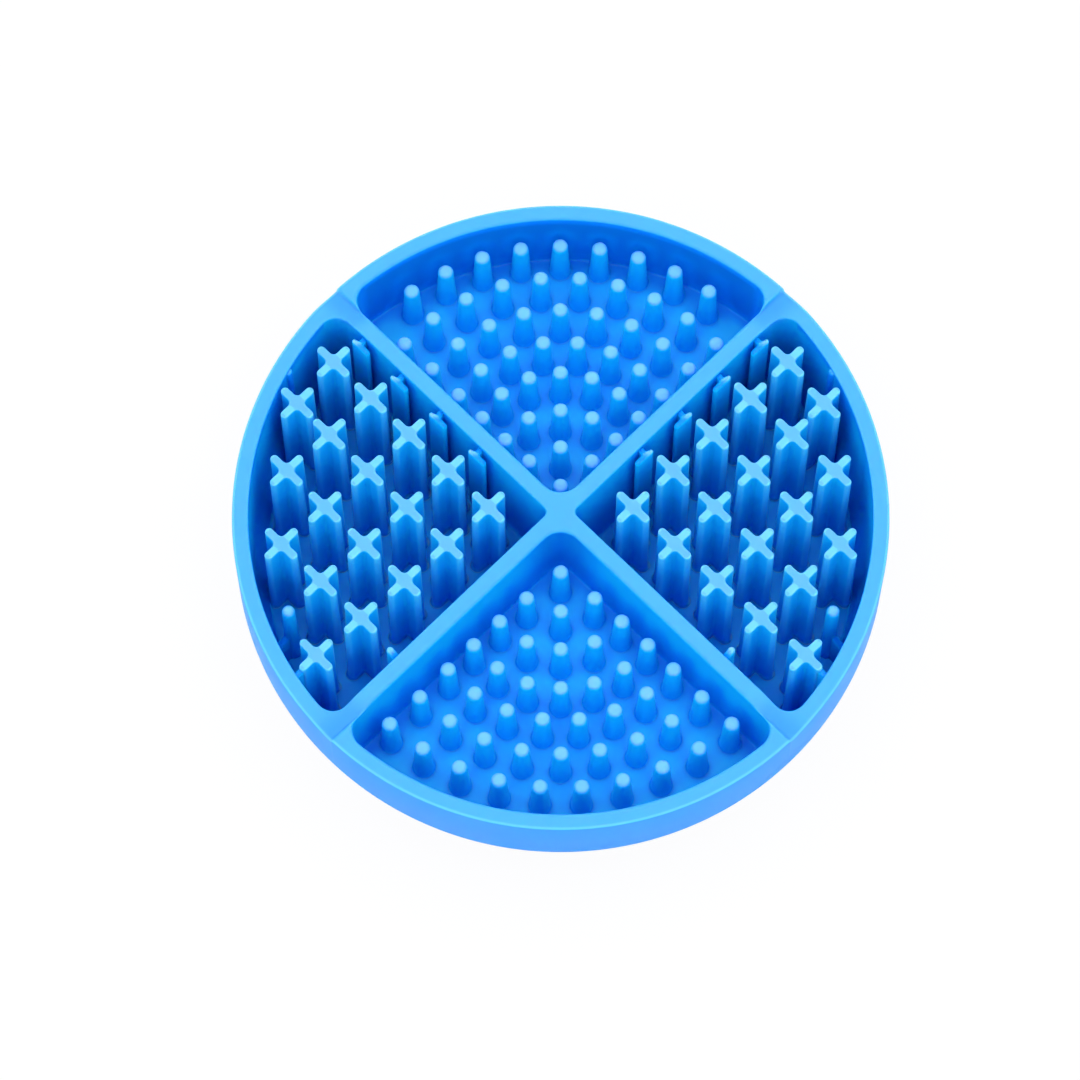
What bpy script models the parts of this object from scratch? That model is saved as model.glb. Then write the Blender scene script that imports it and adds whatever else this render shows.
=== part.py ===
"""Slow feeder bowl: a round silicone bowl whose two crossing dividers make four wells.

The back and front wells hold rows of conical nubs, the left and right wells hold posts of X section.
The real bowl is one moulding. Each moulded feature is an object here, a hair's gap from its neighbours.
Metres, +Z up, origin at the middle of the underside, front of the bowl towards -Y.
"""

import math

import bmesh
import bpy

# Bowl, rim and base
BOWL_DIAMETER = 0.200
BOWL_HEIGHT = 0.050
RIM_WIDTH = 0.005
SKIRT_HEIGHT = 0.027
BASE_WALL = 0.0022
BASE_DRAW_IN = 0.0035
BASE_UPRIGHT = 0.0055

# Dividers and their crossing
DIVIDER_WIDTH = 0.0052
HUB_LAND = 0.0006
NUB_HUB_FILLET = 0.007
CROSS_HUB_FILLET = 0.002
NUB_CORNER_FILLET = 0.006
CROSS_CORNER_FILLET = 0.0055
RIM_LAND = 0.0008

# Fins on the dividers' cross-well sides: places along the divider from the bowl's middle, and plate shape
FIN_FIRST = 0.0320
FIN_STEP = 0.0168
FRONT_FIN_PLACE = 0.0656
FIN_STAND_OFF = 0.00165
FIN_PLATE = 0.0021
FIN_LENGTH = 0.0065
FIN_WEB = 0.0018
FIN_DROP = 0.0013

# Nub wells: floor, nub shape and rows
NUB_WELL_DEPTH = 0.030
NUB_FLOOR = 0.0025
NUB_HEIGHT = 0.022
NUB_FOOT_RADIUS = 0.0034
NUB_TIP_RADIUS = 0.00205
NUB_ROOT = 0.001
NUB_SIDES = 8
BACK_HUB_GAP = 0.0013
BACK_BEND = 1.0
BACK_SPREAD = 1.0
FRONT_HUB_GAP = 0.0065
FRONT_BEND = 1.2
FRONT_SPREAD = 1.04
# Each row: nubs in it, distance past the first row, radius of its arc, gap between feet along the arc
NUB_ROWS = (
    (1, 0.0000, 0.0100, 0.0032),
    (3, 0.0125, 0.0125, 0.0042),
    (5, 0.0245, 0.0200, 0.0034),
    (7, 0.0368, 0.0270, 0.0031),
    (8, 0.0469, 0.0370, 0.0039),
    (9, 0.0574, 0.0500, 0.0046),
    (10, 0.0680, 0.0640, 0.0053),
    (9, 0.0785, 0.0780, 0.0055),
)

# Cross wells: floor, post section and the lattice that the posts stand on
CROSS_FLOOR = 0.003
POST_LENGTH = 0.0132
POST_ARM = 0.0026
POST_FILLET = 0.0012
POST_COLUMNS = 6
POST_FIN_GAP = 0.00155
POST_COLUMN_GAP = 0.0031
POST_ROW_GAP = 0.0024
POST_COLUMN_CLOSING = 0.00013
POST_ROW_MIDDLE = 0.0015
POST_WALL_GAP = 0.0005
WALL_POST_DIAMETER = 0.0037
WALL_POST_DROP = 0.004
WALL_WEB_DROP = 0.024
WALL_WEB = 0.0016

# Gap between the features, and how finely round stretches are divided
GAP = 0.0003
ARC_STEPS = 24
FILLET_STEPS = 5
TIP_STEPS = 3
NOTCH_STEPS = 1

# Silicone
SILICONE_BLUE = (0.03, 0.33, 0.93, 1.0)
SILICONE_ROUGHNESS = 0.45
SHARP_ANGLE = math.radians(35)

BOWL_RADIUS = BOWL_DIAMETER / 2
WELL_RADIUS = BOWL_RADIUS - RIM_WIDTH
SKIRT_BOTTOM = BOWL_HEIGHT - SKIRT_HEIGHT
BASE_TOP = SKIRT_BOTTOM - GAP
BASE_BEND_Z = BASE_TOP - BASE_UPRIGHT
HALF_DIVIDER = DIVIDER_WIDTH / 2
FIN_REACH = HALF_DIVIDER + FIN_STAND_OFF + FIN_PLATE
NUB_FLOOR_Z = BOWL_HEIGHT - NUB_WELL_DEPTH
ROOT_HALF = math.sqrt(0.5)
POST_REACH = (POST_LENGTH - POST_ARM) / 2
POST_COLUMN_STEP = ROOT_HALF * POST_LENGTH + POST_COLUMN_GAP
POST_ROW_STEP = ROOT_HALF * POST_LENGTH + POST_ROW_GAP
WELL_TURNS = {"right": 0.0, "back": math.pi / 2, "left": math.pi, "front": -math.pi / 2}
NUB_SIDES_OF_BOWL = ("back", "front")
CROSS_SIDES_OF_BOWL = ("left", "right")


def clear_scene():
    for obj in list(bpy.data.objects):
        bpy.data.objects.remove(obj, do_unlink=True)


def silicone(name):
    """Blue silicone: satin, not metallic."""
    material = bpy.data.materials.new(name)
    material.use_nodes = True
    shader = material.node_tree.nodes["Principled BSDF"]
    shader.inputs["Base Color"].default_value = SILICONE_BLUE
    shader.inputs["Roughness"].default_value = SILICONE_ROUGHNESS
    shader.inputs["Metallic"].default_value = 0.0
    return material


def add_object(name, bm, parent):
    """Closes a bmesh into a named object with its own material."""
    bmesh.ops.recalc_face_normals(bm, faces=bm.faces)
    mesh = bpy.data.meshes.new(name)
    bm.to_mesh(mesh)
    bm.free()
    mesh.shade_smooth()
    mesh.set_sharp_from_angle(angle=SHARP_ANGLE)
    mesh.materials.append(silicone(name))
    obj = bpy.data.objects.new(name, mesh)
    obj.parent = parent
    bpy.context.scene.collection.objects.link(obj)
    return obj


def as_helper(obj):
    obj.hide_render = True
    obj.display_type = "WIRE"
    return obj


def combine(obj, other, operation):
    modifier = obj.modifiers.new(operation.lower(), "BOOLEAN")
    modifier.operation = operation
    modifier.solver = "EXACT"
    modifier.object = other


def arc(centre, radius, start, end, steps):
    """Points along an arc, both ends included."""
    angles = [start + (end - start) * i / steps for i in range(steps + 1)]
    return [(centre[0] + radius * math.cos(a), centre[1] + radius * math.sin(a)) for a in angles]


def turned(points, angle):
    c = math.cos(angle)
    s = math.sin(angle)
    return [(c * x - s * y, s * x + c * y) for x, y in points]


def along_divider(distance, offset):
    """Point at this distance along the divider at +45 degrees, offset from its middle line into the well."""
    return (ROOT_HALF * (distance + offset), ROOT_HALF * (distance - offset))


def corner_centre(radius, half_width, fillet):
    """Middle of the fillet between the divider's side and a circle about the bowl's middle."""
    across = (half_width + fillet) / ROOT_HALF
    x = (across + math.sqrt(2 * (radius - fillet) ** 2 - across**2)) / 2
    return (x, x - across)


def mirrored(points):
    return [(x, -y) for x, y in reversed(points)]


def hub_fillet_x(half_width, hub_fillet):
    """Middle of the fillet at a well's inner corner, on the well's middle line."""
    return (half_width + hub_fillet) / ROOT_HALF


def well_arcs(radius, half_width, hub_fillet, corner_fillet):
    """Hub arc, right corner, outer arc and left corner of a well that opens along +X, counterclockwise."""
    hub_x = hub_fillet_x(half_width, hub_fillet)
    hub = arc((hub_x, 0), hub_fillet, math.radians(135), math.radians(225), FILLET_STEPS)
    centre = corner_centre(radius, half_width, corner_fillet)
    turn = math.atan2(centre[1], centre[0])
    left = arc(centre, corner_fillet, turn, math.radians(135), FILLET_STEPS)
    outer = arc((0, 0), radius, -turn, turn, ARC_STEPS)
    return hub, mirrored(left), outer[1:-1], left


def fillets_of(side):
    if side in NUB_SIDES_OF_BOWL:
        return NUB_HUB_FILLET, NUB_CORNER_FILLET
    return CROSS_HUB_FILLET, CROSS_CORNER_FILLET


def well_outline(side, radius, half_width):
    """Plan of a well, turned to its side of the bowl."""
    parts = well_arcs(radius, half_width, *fillets_of(side))
    return turned([point for part in parts for point in part], WELL_TURNS[side])


def corner_start():
    """Distance along a divider where the rim takes over from it."""
    ends = []
    for fillet in (NUB_CORNER_FILLET, CROSS_CORNER_FILLET):
        x, y = corner_centre(WELL_RADIUS, HALF_DIVIDER, fillet)
        ends.append(ROOT_HALF * (x + y))
    return min(ends) - RIM_LAND


def hub_reach():
    """Distance along a divider where it takes over from the hub."""
    return HALF_DIVIDER + max(NUB_HUB_FILLET, CROSS_HUB_FILLET) + HUB_LAND


def base_inner_radius(z):
    """Inside of the base wall: upright under the rim, then drawn in towards the table."""
    if z >= BASE_BEND_Z:
        return WELL_RADIUS
    return WELL_RADIUS - BASE_DRAW_IN * (BASE_BEND_Z - z) / BASE_BEND_Z


def loft(sections):
    """Solid through outlines of equal point counts, each with its height, from the lowest up."""
    bm = bmesh.new()
    rings = [[bm.verts.new((x, y, z)) for x, y in outline] for outline, z in sections]
    count = len(rings[0])
    for low, high in zip(rings, rings[1:]):
        for i in range(count):
            bm.faces.new((low[i], low[(i + 1) % count], high[(i + 1) % count], high[i]))
    bm.faces.new(reversed(rings[0]))
    bm.faces.new(rings[-1])
    return bm


def prism(outline, bottom, top):
    return loft([(outline, bottom), (outline, top)])


def rim(side, parent):
    """A quarter of the rim and skirt, between the creases at two divider ends."""
    _, right, inner, left = well_arcs(WELL_RADIUS, HALF_DIVIDER, *fillets_of(side))
    half_gap = GAP / 2
    end = math.radians(45) - math.asin(half_gap / BOWL_RADIUS)
    start = corner_start()
    left_end = [along_divider(start, half_gap), along_divider(start, HALF_DIVIDER)]
    outline = arc((0, 0), BOWL_RADIUS, -end, end, ARC_STEPS)
    outline += left_end + left[::-1] + inner[::-1] + right[::-1] + mirrored(left_end)
    add_object(f"rim_{side}", prism(turned(outline, WELL_TURNS[side]), SKIRT_BOTTOM, BOWL_HEIGHT), parent)


def base_wall(side, parent):
    """A quarter of the wall that the bowl stands on, drawn in under the skirt."""
    foot = base_inner_radius(0)
    section = [
        (foot, 0),
        (foot + BASE_WALL, 0),
        (WELL_RADIUS + BASE_WALL, BASE_BEND_Z),
        (WELL_RADIUS + BASE_WALL, BASE_TOP),
        (WELL_RADIUS, BASE_TOP),
        (WELL_RADIUS, BASE_BEND_Z),
    ]
    end = math.radians(45) - math.asin(GAP / 2 / foot)
    bm = bmesh.new()
    rings = []
    for i in range(ARC_STEPS + 1):
        angle = WELL_TURNS[side] + end * (2 * i / ARC_STEPS - 1)
        rings.append([bm.verts.new((r * math.cos(angle), r * math.sin(angle), z)) for r, z in section])
    count = len(section)
    for near, far in zip(rings, rings[1:]):
        for i in range(count):
            bm.faces.new((near[i], near[(i + 1) % count], far[(i + 1) % count], far[i]))
    bm.faces.new(rings[0])
    bm.faces.new(reversed(rings[-1]))
    add_object(f"base_wall_{side}", bm, parent)


def hub(parent):
    """The crossing of the dividers, with the fillets of the four wells' inner corners."""
    reach = hub_reach() - GAP / 2
    outline = []
    for side, turn in WELL_TURNS.items():
        fillet_arc = well_arcs(WELL_RADIUS, HALF_DIVIDER, *fillets_of(side))[0]
        left_end = [along_divider(reach, HALF_DIVIDER)]
        outline += turned(mirrored(left_end) + fillet_arc[::-1] + left_end, turn)
    add_object("hub", prism(outline, 0, BOWL_HEIGHT), parent)


def upright(profile, half_width, turn):
    """Wall of this profile (distance along the divider, height), as wide as the divider."""
    bm = bmesh.new()
    sides = []
    for offset in (half_width, -half_width):
        points = turned([along_divider(distance, offset) for distance, _ in profile], turn)
        sides.append([bm.verts.new((x, y, z)) for (x, y), (_, z) in zip(points, profile)])
    near, far = sides
    count = len(profile)
    for i in range(count):
        bm.faces.new((near[i], near[(i + 1) % count], far[(i + 1) % count], far[i]))
    bm.faces.new(reversed(near))
    bm.faces.new(far)
    return bm


def fin_outlines(place, into_well):
    """Plans of a fin's plate and of the web that joins it to the divider. into_well is 1 or -1."""
    near = HALF_DIVIDER + FIN_STAND_OFF
    plate = [(place - FIN_LENGTH, near), (place, near), (place, FIN_REACH), (place - FIN_LENGTH, FIN_REACH)]
    web_start = place - FIN_PLATE - FIN_WEB
    inside = (near + FIN_REACH) / 2
    web = [(web_start, 0), (web_start + FIN_WEB, 0), (web_start + FIN_WEB, inside), (web_start, inside)]
    return [[along_divider(s, into_well * offset) for s, offset in outline] for outline in (plate, web)]


def divider(name, turn, into_well, places, parent):
    """One arm of the X, from the hub to the rim, with fins on its cross-well side."""
    start = hub_reach() + GAP / 2
    rim_end = corner_start() - GAP
    profile = [
        (start, 0),
        (base_inner_radius(0) - GAP, 0),
        (WELL_RADIUS - GAP, BASE_BEND_Z),
        (WELL_RADIUS - GAP, BASE_TOP),
        (rim_end, BASE_TOP),
        (rim_end, BOWL_HEIGHT),
        (start, BOWL_HEIGHT),
    ]
    arm = add_object(name, upright(profile, HALF_DIVIDER, turn), parent)
    for number, place in enumerate(places, 1):
        for part, outline in zip(("plate", "web"), fin_outlines(place, into_well)):
            solid = prism(turned(outline, turn), CROSS_FLOOR + GAP, BOWL_HEIGHT - FIN_DROP)
            helper = as_helper(add_object(f"{name}_fin_{number}_{part}", solid, parent))
            combine(arm, helper, "UNION")


def dividers(parent):
    """The four arms. A back divider has as many fins as fit between the first one and the rim."""
    count = max(1, math.ceil((corner_start() - GAP - FIN_FIRST) / FIN_STEP))
    places = [FIN_FIRST + FIN_STEP * i for i in range(count)]
    quarter = math.pi / 2
    divider("divider_back_right", 0.0, 1, places, parent)
    divider("divider_back_left", quarter, -1, places, parent)
    divider("divider_front_left", 2 * quarter, 1, [FRONT_FIN_PLACE], parent)
    divider("divider_front_right", 3 * quarter, -1, [FRONT_FIN_PLACE], parent)


def nub_floor_radius():
    """Outer radius of a nub well's floor, clear of the wall at the floor's underside."""
    return base_inner_radius(NUB_FLOOR_Z - NUB_FLOOR) - GAP


def nub_places(hub_gap, bend_factor, spread):
    """Plan of the nubs in a well that opens along +X: rows of arcs, one behind the other."""
    hub_corner = hub_fillet_x(HALF_DIVIDER, NUB_HUB_FILLET) - NUB_HUB_FILLET
    first_row = hub_corner + hub_gap + NUB_FOOT_RADIUS
    places = []
    for count, step, bend, foot_gap in NUB_ROWS:
        radius = bend * bend_factor
        pitch = (2 * NUB_FOOT_RADIUS + foot_gap) * spread
        for i in range(count):
            angle = (i - (count - 1) / 2) * pitch / radius
            places.append((first_row + step - radius * (1 - math.cos(angle)), radius * math.sin(angle)))
    return places


def foot_fits(place):
    """Whether a nub's foot stands wholly on the floor of its well."""
    x, y = place
    from_divider = ROOT_HALF * (x - abs(y)) - HALF_DIVIDER - GAP
    from_wall = nub_floor_radius() - math.hypot(x, y)
    corner = corner_centre(nub_floor_radius(), HALF_DIVIDER + GAP, NUB_CORNER_FILLET)
    past_corner = math.atan2(abs(y), x) > math.atan2(corner[1], corner[0])
    beyond_fillet = past_corner and ROOT_HALF * (x + abs(y)) > ROOT_HALF * sum(corner)
    if beyond_fillet:
        from_wall = NUB_CORNER_FILLET - math.hypot(x - corner[0], abs(y) - corner[1])
    return min(from_divider, from_wall) > NUB_FOOT_RADIUS


def nub_profile():
    """Radius and height, from the foot below the floor up to the round of the tip."""
    shoulder = NUB_FLOOR_Z + NUB_HEIGHT - NUB_TIP_RADIUS
    profile = [(NUB_FOOT_RADIUS, NUB_FLOOR_Z - NUB_ROOT), (NUB_FOOT_RADIUS, NUB_FLOOR_Z)]
    for i in range(TIP_STEPS):
        angle = math.pi / 2 * i / TIP_STEPS
        profile.append((NUB_TIP_RADIUS * math.cos(angle), shoulder + NUB_TIP_RADIUS * math.sin(angle)))
    return profile


def add_nub(bm, place):
    """A closed cone with a round tip, standing through the floor's upper face."""
    rings = []
    for radius, z in nub_profile():
        points = arc(place, radius, 0, 2 * math.pi, NUB_SIDES)[:-1]
        rings.append([bm.verts.new((x, y, z)) for x, y in points])
    for low, high in zip(rings, rings[1:]):
        for i in range(NUB_SIDES):
            j = (i + 1) % NUB_SIDES
            bm.faces.new((low[i], low[j], high[j], high[i]))
    bm.faces.new(reversed(rings[0]))
    bm.faces.new(rings[-1])


def nub_bed(side, hub_gap, bend_factor, spread, parent):
    """The floor of a nub well with its nubs."""
    outline = well_outline(side, nub_floor_radius(), HALF_DIVIDER + GAP)
    bed = add_object(f"nub_bed_{side}", prism(outline, NUB_FLOOR_Z - NUB_FLOOR, NUB_FLOOR_Z), parent)
    places = [place for place in nub_places(hub_gap, bend_factor, spread) if foot_fits(place)]
    bm = bmesh.new()
    for place in turned(places, WELL_TURNS[side]):
        add_nub(bm, place)
    combine(bed, as_helper(add_object(f"nubs_{side}", bm, parent)), "UNION")


def cross_floor(side, parent):
    outline = well_outline(side, base_inner_radius(0) - GAP, HALF_DIVIDER + GAP)
    add_object(f"cross_floor_{side}", prism(outline, 0, CROSS_FLOOR), parent)


def cross_cavity(side, parent):
    """The room of a cross well, a gap inside its walls: what stands in the well is trimmed to it."""
    sections = []
    for z in (CROSS_FLOOR + GAP, BASE_BEND_Z, 2 * BOWL_HEIGHT):
        outline = well_outline(side, base_inner_radius(z) - GAP, HALF_DIVIDER + GAP)
        sections.append((outline, z))
    return as_helper(add_object(f"cross_cavity_{side}", loft(sections), parent))


def post_outline():
    """X section: four arms with round ends, and fillets between them."""
    half_arm = POST_ARM / 2
    fillet = min(POST_FILLET, POST_REACH - half_arm)
    quarter = math.pi / 2
    points = []
    for i in range(4):
        turn = quarter * (i + 0.5)
        arm_end = turned([(POST_REACH, 0)], turn)[0]
        points += arc(arm_end, half_arm, turn - quarter, turn + quarter, TIP_STEPS)
        notch = turned([(half_arm + fillet, half_arm + fillet)], turn)[0]
        points += arc(notch, fillet, turn - quarter, turn - 2 * quarter, NOTCH_STEPS)
    return points


def pulled_in(place):
    """Moves a post in along the lattice's diagonal where its arms would meet the rim."""
    x, y = place
    most = WELL_RADIUS - POST_WALL_GAP - POST_LENGTH / 2
    excess = x**2 + y**2 - most**2
    if excess <= 0:
        return place
    along = ROOT_HALF * (x + abs(y))
    shift = along - math.sqrt(along**2 - excess)
    return (x - ROOT_HALF * shift, y - math.copysign(ROOT_HALF * shift, y))


def clear_of_dividers(place):
    """Whether a post's arms stay clear of the dividers' fins."""
    x, y = place
    return ROOT_HALF * (x - abs(y)) > FIN_REACH + GAP + POST_LENGTH / 2


def is_free(place, reach, width, posts):
    """Whether arms of this reach and width, or a round post of no reach, keep clear of these X posts."""
    for x, y in posts:
        across = abs(place[0] - x)
        along = abs(place[1] - y)
        far = ROOT_HALF * (across + along)
        near = ROOT_HALF * abs(across - along)
        in_line = math.hypot(max(0.0, far - reach - POST_REACH), near)
        crossing = math.hypot(max(0.0, far - reach), max(0.0, near - POST_REACH))
        crossed = math.hypot(max(0.0, far - POST_REACH), max(0.0, near - reach))
        if min(in_line, crossing, crossed) < (width + POST_ARM) / 2 + GAP:
            return False
    return True


def lattice():
    """Places in the right-hand well: every other point of a lattice whose columns close up to the back."""
    from_divider = FIN_REACH + POST_FIN_GAP + POST_LENGTH / 2
    first_column = from_divider / ROOT_HALF + abs(POST_ROW_MIDDLE)
    places = []
    for column in range(POST_COLUMNS):
        for row in range(column, -column - 1, -2):
            x = first_column + column * (POST_COLUMN_STEP - row * POST_COLUMN_CLOSING)
            y = POST_ROW_MIDDLE + POST_ROW_STEP * row
            if math.hypot(x, y) < WELL_RADIUS and clear_of_dividers((x, y)):
                places.append(pulled_in((x, y)))
    return places


def post_places():
    """Places of the X posts, and of the partial posts that stand where an X post finds no room."""
    crosses = []
    left_over = []
    for place in lattice():
        fits = is_free(place, POST_REACH, POST_ARM, crosses)
        (crosses if fits else left_over).append(place)
    partial = [place for place in left_over if is_free(place, 0.0, WALL_POST_DIAMETER, crosses)]
    return crosses, partial


def to_side(side, place):
    return (-place[0], place[1]) if side == "left" else place


def cross_post(name, place, mesh_source, cavity, parent):
    post = mesh_source.copy()
    post.name = name
    post.data = mesh_source.data.copy()
    post.data.materials[0] = silicone(name)
    post.hide_render = False
    post.display_type = "TEXTURED"
    post.location = (*place, 0)
    post.parent = parent
    bpy.context.scene.collection.objects.link(post)
    combine(post, cavity, "INTERSECT")


def wall_post(name, place, cavity, parent):
    """A round partial post beside the outer wall, with a low web that joins it to the wall."""
    radius = WALL_POST_DIAMETER / 2
    top = BOWL_HEIGHT - WALL_POST_DROP
    shoulder = top - radius
    sections = [(arc(place, radius, 0, 2 * math.pi, NUB_SIDES)[:-1], z) for z in (0, shoulder)]
    for i in range(1, TIP_STEPS):
        angle = math.pi / 2 * i / TIP_STEPS
        ring = arc(place, radius * math.cos(angle), 0, 2 * math.pi, NUB_SIDES)[:-1]
        sections.append((ring, shoulder + radius * math.sin(angle)))
    post = add_object(name, loft(sections), parent)
    outward = math.atan2(place[1], place[0])
    half_web = WALL_WEB / 2
    length = WELL_RADIUS - math.hypot(*place)
    strip = turned([(0, -half_web), (length, -half_web), (length, half_web), (0, half_web)], outward)
    web_outline = [(place[0] + x, place[1] + y) for x, y in strip]
    web = add_object(f"{name}_web", prism(web_outline, 0, BOWL_HEIGHT - WALL_WEB_DROP), parent)
    combine(post, as_helper(web), "UNION")
    combine(post, cavity, "INTERSECT")


def cross_well(side, parent):
    """Floor, X posts and partial posts of a cross well."""
    cross_floor(side, parent)
    cavity = cross_cavity(side, parent)
    section = as_helper(add_object(f"post_section_{side}", prism(post_outline(), 0, BOWL_HEIGHT), parent))
    crosses, partial = post_places()
    for number, place in enumerate(crosses, 1):
        cross_post(f"cross_post_{side}_{number:02d}", to_side(side, place), section, cavity, parent)
    for number, place in enumerate(partial, 1):
        wall_post(f"wall_post_{side}_{number}", to_side(side, place), cavity, parent)


def main():
    clear_scene()
    bowl = bpy.data.objects.new("slow_feeder_bowl", None)
    bpy.context.scene.collection.objects.link(bowl)
    for side in WELL_TURNS:
        rim(side, bowl)
        base_wall(side, bowl)
    hub(bowl)
    dividers(bowl)
    nub_bed("back", BACK_HUB_GAP, BACK_BEND, BACK_SPREAD, bowl)
    nub_bed("front", FRONT_HUB_GAP, FRONT_BEND, FRONT_SPREAD, bowl)
    for side in CROSS_SIDES_OF_BOWL:
        cross_well(side, bowl)


main()
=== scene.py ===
"""Looks of the slow feeder bowl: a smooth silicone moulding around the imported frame.

The bowl's walls, rim, dividers and floors are one mesh, as the real bowl is one moulding. Nubs, posts, fins,
webs and ribs are pieces that stand in it. Sizes are in metres, +Z is up, and the front of the bowl faces -Y.
"""

import math

import bmesh
import bpy
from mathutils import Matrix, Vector

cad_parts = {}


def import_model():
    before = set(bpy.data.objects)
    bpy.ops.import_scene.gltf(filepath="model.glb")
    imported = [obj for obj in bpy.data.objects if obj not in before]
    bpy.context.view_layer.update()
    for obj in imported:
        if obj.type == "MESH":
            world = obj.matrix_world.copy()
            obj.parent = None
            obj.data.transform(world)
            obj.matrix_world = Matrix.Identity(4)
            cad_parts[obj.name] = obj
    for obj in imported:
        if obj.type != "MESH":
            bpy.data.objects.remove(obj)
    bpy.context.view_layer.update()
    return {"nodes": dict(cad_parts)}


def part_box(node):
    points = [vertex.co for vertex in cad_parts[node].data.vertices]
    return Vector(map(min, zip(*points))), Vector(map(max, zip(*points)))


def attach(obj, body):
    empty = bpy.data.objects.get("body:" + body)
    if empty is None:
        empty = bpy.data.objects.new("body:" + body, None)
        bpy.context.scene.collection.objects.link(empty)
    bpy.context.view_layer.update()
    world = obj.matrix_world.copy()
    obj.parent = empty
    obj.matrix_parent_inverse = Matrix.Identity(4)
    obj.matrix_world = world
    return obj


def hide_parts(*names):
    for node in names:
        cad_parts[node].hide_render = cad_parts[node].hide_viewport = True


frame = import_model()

# Camera, from where the rim's circle lies in the photograph
PHOTO_SIZE = 1080
RIM_CENTRE_IN_PHOTO = (560.7, 511.5)
RIM_RADIUS_IN_PHOTO = 329.0
CAMERA_ELEVATION = math.radians(72)
CAMERA_DISTANCE = 1.7
SENSOR_WIDTH = 36.0

# Sizes that the frame gives
RIM_LOW, RIM_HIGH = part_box("rim_right")
BOWL_RADIUS = RIM_HIGH.x
TOP = RIM_HIGH.z
SKIRT_BOTTOM = RIM_LOW.z
BASE_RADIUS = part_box("base_wall_right")[1].x
CROSS_FLOOR_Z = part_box("cross_floor_right")[1].z
NUB_UNDERSIDE_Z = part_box("nub_bed_back")[0].z

# Rim, dividers and base
RIM_WIDTH = 0.005
DIVIDER_WIDTH = 0.0052
OUTER_EDGE = 0.0011
SKIRT_EDGE = 0.0009
BASE_WALL = 0.0022
BASE_DRAW_IN = 0.0035
BASE_BEND_Z = 0.0172
BASE_INSIDE_CORNER = 0.0008
FOOT_EDGE = 0.0008
RECESS_EDGE = 0.0004
RECESS_COVE = 0.001
HALF_DIVIDER = DIVIDER_WIDTH / 2
WELL_RADIUS = BOWL_RADIUS - RIM_WIDTH
FOOT_RADIUS = BASE_RADIUS - BASE_DRAW_IN

# Wells: fillets in plan, rounded top edge, draft of the walls, cove at the floor
NUB_FLOOR_Z = 0.020
NUB_HUB_FILLET = 0.007
NUB_CORNER_FILLET = 0.006
NUB_WELL_EDGE = 0.0013
NUB_WELL_DRAFT = 0.0014
NUB_WELL_COVE = 0.0008
CROSS_HUB_FILLET = 0.002
CROSS_CORNER_FILLET = 0.0055
CROSS_WELL_EDGE = 0.0007
CROSS_WELL_DRAFT = 0.0006
CROSS_WELL_COVE = 0.0012
SHARPEST_FILLET = 0.0002

# Dished rim ends beside the creases that continue the nub wells' divider sides
DISH_DEPTH = 0.0018
DISH_LENGTH = 0.012
DISH_START = 0.082
DISH_FADE = 0.008
DISH_HEIGHT = 0.004
CREASE_WIDTH = 0.0008
CREASE_RISE = 0.00025

# Nubs
NUB_HEIGHT = 0.022
NUB_FOOT_RADIUS = 0.0032
NUB_TIP_RADIUS = 0.0024
NUB_TIP_EDGE = 0.0016
NUB_TIP_CROWN = 0.0001
NUB_FLARE = 0.0006
NUB_FOOT_RUN = 0.0006
NUB_FOOT_SINK = 0.00005
NUB_EMBED = 0.002

# X posts, and the round posts by the wall
POST_LENGTH = 0.0131
POST_ARM = 0.0026
POST_NOTCH_FILLET = 0.0015
POST_EDGE = 0.0004
POST_DRAFT = 0.0003
POST_FLARE = 0.0008
WALL_POST_RADIUS = 0.0020
WALL_POST_TOP = 0.046
WALL_POST_TAPER = 0.0004
WALL_WEB_TOP = 0.025
WALL_WEB_END = 0.019
WALL_WEB = 0.0022

# Webs that join an X post's arm to the wall, and ribs on the wall
POST_WEB = 0.0019
POST_WEB_DROP = 0.0018
RIB_ANGLE = math.radians(28.7)
RIB_RADIUS = 0.0015
RIB_STANDS = 0.0010
RIB_TOP_DROP = 0.0009

# Fins: places of their tips along the divider from the bowl's middle, shape, and dividers in turn
BACK_FINS = (0.0331, 0.0501, 0.0670, 0.0837)
FRONT_FINS = (0.0674,)
FIN_TIP_REACH = 0.0015
FIN_END_REACH = 0.0032
FIN_PLATE = 0.0018
FIN_WEB = 0.0018
FIN_FILLET = 0.0007
FIN_OFFSET = 0.0054
FIN_TURN = math.radians(-7)
FIN_TIP_DROP = 0.0003
FIN_FALL_LEAD = 0.00045
FIN_END_FALL = 0.0026
FIN_WEB_FALL = 0.0014
FIN_EDGE = 0.0007
STUB_WIDTH = 0.0022
STUB_FALL = 0.0020
STUB_SLOPE = 0.0022
FIN_DIVIDERS = (("back", "right"), ("back", "left"), ("front", "left"), ("front", "right"))

# Colours of the silicone: its body's own cloudy tones, then tints of painted light and shade for floors,
# corners, walls, heads of slim pieces, tops and edges
DEEP_BLUE = (0.002, 0.275, 0.96, 1.0)
PALE_BLUE = (0.003, 0.285, 0.96, 1.0)
# Painted light on faces that point up, less of it low down on the cross wells' floors; painted shade in
# corners and at the feet of nubs and round posts
LIT_FLOOR_BLUE = (0.008, 0.53, 1.0, 1.0)
DIMLY_LIT_FLOOR_BLUE = (0.003, 0.42, 1.0, 1.0)
CORNER_SHADE_BLUE = (0.001, 0.30, 0.86, 1.0)
FOOT_SHADE_BLUE = (0.002, 0.34, 0.89, 1.0)
# Painted glow high on walls and on the heads of slim pieces; painted shade down the nub wells' outer walls
GLOW_BLUE = (0.003, 0.455, 1.0, 1.0)
SHADE_BLUE = (0.001, 0.19, 0.68, 1.0)
HEAD_GLOW_BLUE = (0.004, 0.49, 1.0, 1.0)
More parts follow.
